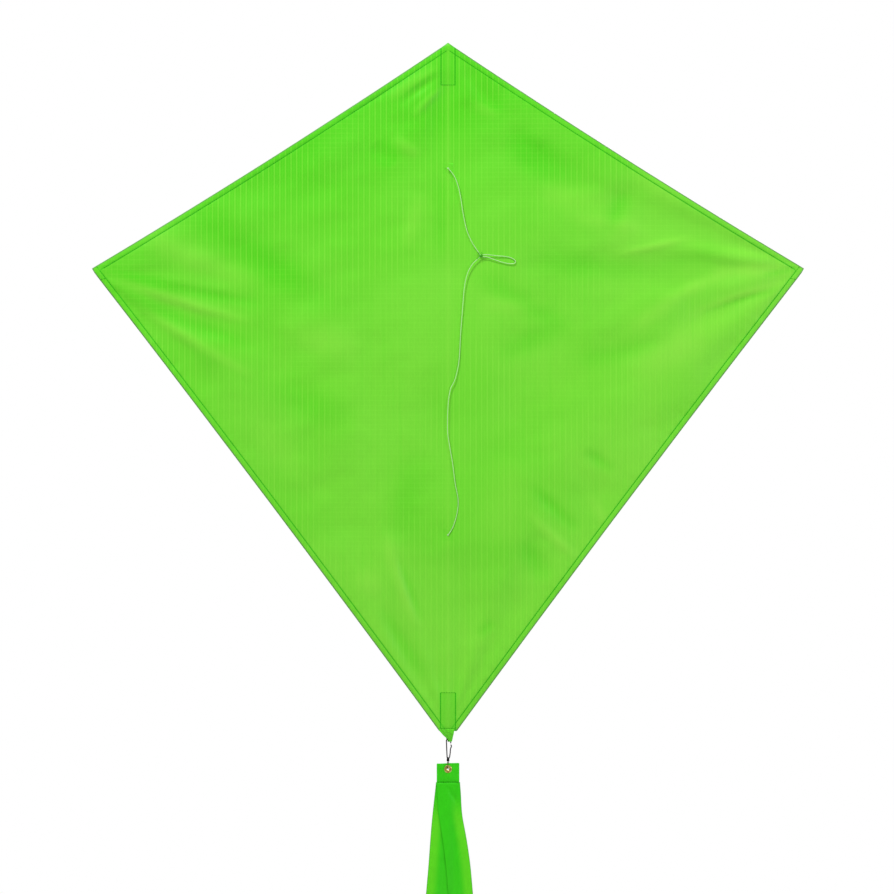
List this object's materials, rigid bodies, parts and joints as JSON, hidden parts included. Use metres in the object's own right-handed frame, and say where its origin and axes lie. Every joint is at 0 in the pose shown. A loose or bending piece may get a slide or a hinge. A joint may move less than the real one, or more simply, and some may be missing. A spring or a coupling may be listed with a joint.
{
  "type": "diamond kite",
  "caption": "Single-line diamond kite in lime ripstop cloth on a cross of two thin rods, with a bridle, a snap swivel and a tail of ribbons.",
  "frame": {"origin": "middle of the flat back face of the moulded cross, where the two rods cross", "axes": "+Z along the spine to the nose, +Y out of the kite's back, +X to the right as seen from the front, which is the bridle's side"},
  "size_m": [0.762, 0.0166, 1.5436],
  "materials": {
    "sail_cloth": "satin",
    "hem_cloth": "satin",
    "pocket_cloth": "satin",
    "tail_cloth": "satin",
    "rod_fibreglass": "satin",
    "cross_plastic": "satin",
    "cap_vinyl": "satin",
    "bridle_line": "matte",
    "snap_metal": "polished",
    "swivel_metal": "polished",
    "eyelet_brass": "polished"
  },
  "bodies": {
    "kite": {"sail": "sail_cloth", "hem_leading_left": "hem_cloth", "hem_leading_right": "hem_cloth", "hem_trailing_left": "hem_cloth", "hem_trailing_right": "hem_cloth", "bridle_patch_upper": "pocket_cloth", "bridle_patch_lower": "pocket_cloth", "nose_pocket": "pocket_cloth", "tail_pocket": "pocket_cloth", "wing_pocket_left": "pocket_cloth", "wing_pocket_right": "pocket_cloth", "tail_tab": "pocket_cloth", "spine_rod": "rod_fibreglass", "cross_spar": "rod_fibreglass", "rod_cross": "cross_plastic", "spine_cap_nose": "cap_vinyl", "spine_cap_tail": "cap_vinyl", "spar_cap_left": "cap_vinyl", "spar_cap_right": "cap_vinyl", "bridle_anchor_upper": "bridle_line", "bridle_anchor_lower": "bridle_line"},
    "bridle": {"bridle_upper_leg": "bridle_line", "bridle_lower_leg": "bridle_line", "bridle_knot": "bridle_line"},
    "tow_loop": {"tow_loop": "bridle_line"},
    "snap": {"snap_wire": "snap_metal", "swivel_barrel": "swivel_metal"},
    "gate": {"snap_gate": "snap_metal"},
    "swivel": {"swivel_eye": "swivel_metal"},
    "tail": {"tail_header": "tail_cloth", "tail_eyelet": "eyelet_brass", "eyelet_washer": "eyelet_brass"},
    "ribbons": {"tail_ribbon_left": "tail_cloth", "tail_ribbon_right": "tail_cloth"}
  },
  "joints": [
    {"name": "bridle_swing", "type": "hinge", "parent": "kite", "child": "bridle", "pos_m": [0, -0.0155, 0], "axis": [0, 0, -1], "range_deg": [0, 175]},
    {"name": "tow_loop_swing", "type": "hinge", "parent": "bridle", "child": "tow_loop", "pos_m": [0.0352, -0.0155, 0.0144], "axis": [0, 0, 1], "range_deg": [-90, 0]},
    {"name": "snap_swing", "type": "hinge", "parent": "kite", "child": "snap", "pos_m": [0, -0.0095, -0.5052], "axis": [0, 1, 0], "range_deg": [-60, 60]},
    {"name": "gate_open", "type": "hinge", "parent": "snap", "child": "gate", "pos_m": [0.0011, -0.0095, -0.5232], "axis": [0, 1, 0], "range_deg": [0, 14], "stiffness_Nm_per_rad": 0.002},
    {"name": "swivel_spin", "type": "hinge", "parent": "snap", "child": "swivel", "pos_m": [0, -0.0095, -0.526], "axis": [0, 0, 1], "continuous": true},
    {"name": "tail_swing", "type": "hinge", "parent": "swivel", "child": "tail", "pos_m": [0, -0.0095, -0.5339], "axis": [0, 1, 0], "range_deg": [-25, 25]},
    {"name": "ribbon_flutter", "type": "hinge", "parent": "tail", "child": "ribbons", "pos_m": [0, -0.0095, -0.551], "axis": [1, 0, 0], "range_deg": [-60, 60]}
  ]
}
